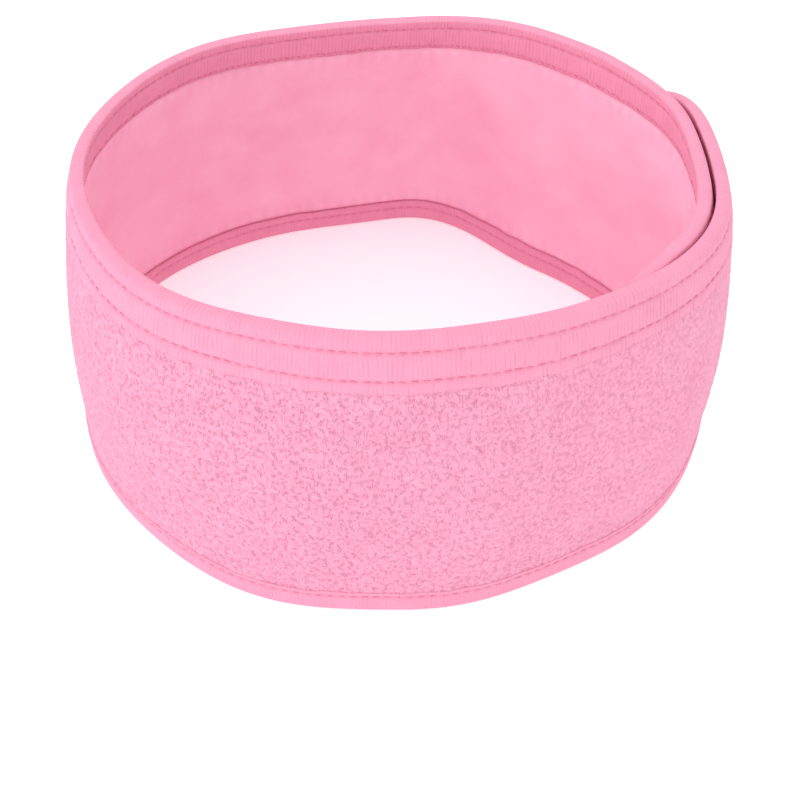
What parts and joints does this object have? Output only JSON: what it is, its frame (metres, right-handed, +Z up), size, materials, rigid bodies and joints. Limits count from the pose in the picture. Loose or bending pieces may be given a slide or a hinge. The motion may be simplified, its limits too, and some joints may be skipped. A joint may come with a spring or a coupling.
{
  "type": "spa headband",
  "caption": "Towelling headband with a taped edge, closed into a ring by overlapping rounded ends with hook and loop patches.",
  "frame": {"origin": "under the middle of the ring's bounding box, on the surface that it stands on", "axes": "+Z up out of the ring's head opening, +X to the right across the ring's long way with the overlapped ends on the +X side, -Y the front"},
  "size_m": [0.181, 0.1504, 0.085],
  "materials": {
    "terry": "pink looped terry pile, matte",
    "lining": "pink brushed lining, matte",
    "tape": "pink ribbed knit edge tape",
    "thread": "pink sewing thread",
    "hook": "dark grey woven nylon hook tape",
    "loop": "white brushed nylon loop tape"
  },
  "bodies": {
    "band": {"terry_band": "terry", "lining_band": "lining", "top_tape_band": "tape", "top_upper_seam_outside_band": "thread", "top_upper_seam_inside_band": "thread", "top_lower_seam_outside_band": "thread", "top_lower_seam_inside_band": "thread", "edge_tape_band": "tape", "edge_seam_outside_band": "thread", "edge_seam_inside_band": "thread"},
    "outer_end": {"terry_outer_end": "terry", "lining_outer_end": "lining", "top_tape_outer_end": "tape", "top_upper_seam_outside_outer_end": "thread", "top_upper_seam_inside_outer_end": "thread", "top_lower_seam_outside_outer_end": "thread", "top_lower_seam_inside_outer_end": "thread", "edge_tape_outer_end": "tape", "edge_seam_outside_outer_end": "thread", "edge_seam_inside_outer_end": "thread", "hook_patch": "hook", "hook_patch_stitching": "thread"},
    "inner_end": {"terry_inner_end": "terry", "lining_inner_end": "lining", "top_tape_inner_end": "tape", "top_upper_seam_outside_inner_end": "thread", "top_upper_seam_inside_inner_end": "thread", "top_lower_seam_outside_inner_end": "thread", "top_lower_seam_inside_inner_end": "thread", "edge_tape_inner_end": "tape", "edge_seam_outside_inner_end": "thread", "edge_seam_inside_inner_end": "thread", "loop_patch": "loop", "loop_patch_stitching": "thread"}
  },
  "joints": [
    {"name": "outer_end_peel", "type": "hinge", "parent": "band", "child": "outer_end", "pos_m": [0.04771, -0.05354, 0.0425], "axis": [0.0653, -0.1282, -0.9896], "range_deg": [0, 100]},
    {"name": "inner_end_swing", "type": "hinge", "parent": "band", "child": "inner_end", "pos_m": [0.04793, 0.04651, 0.0425], "axis": [0, 0, -1], "range_deg": [0, 40]}
  ]
}
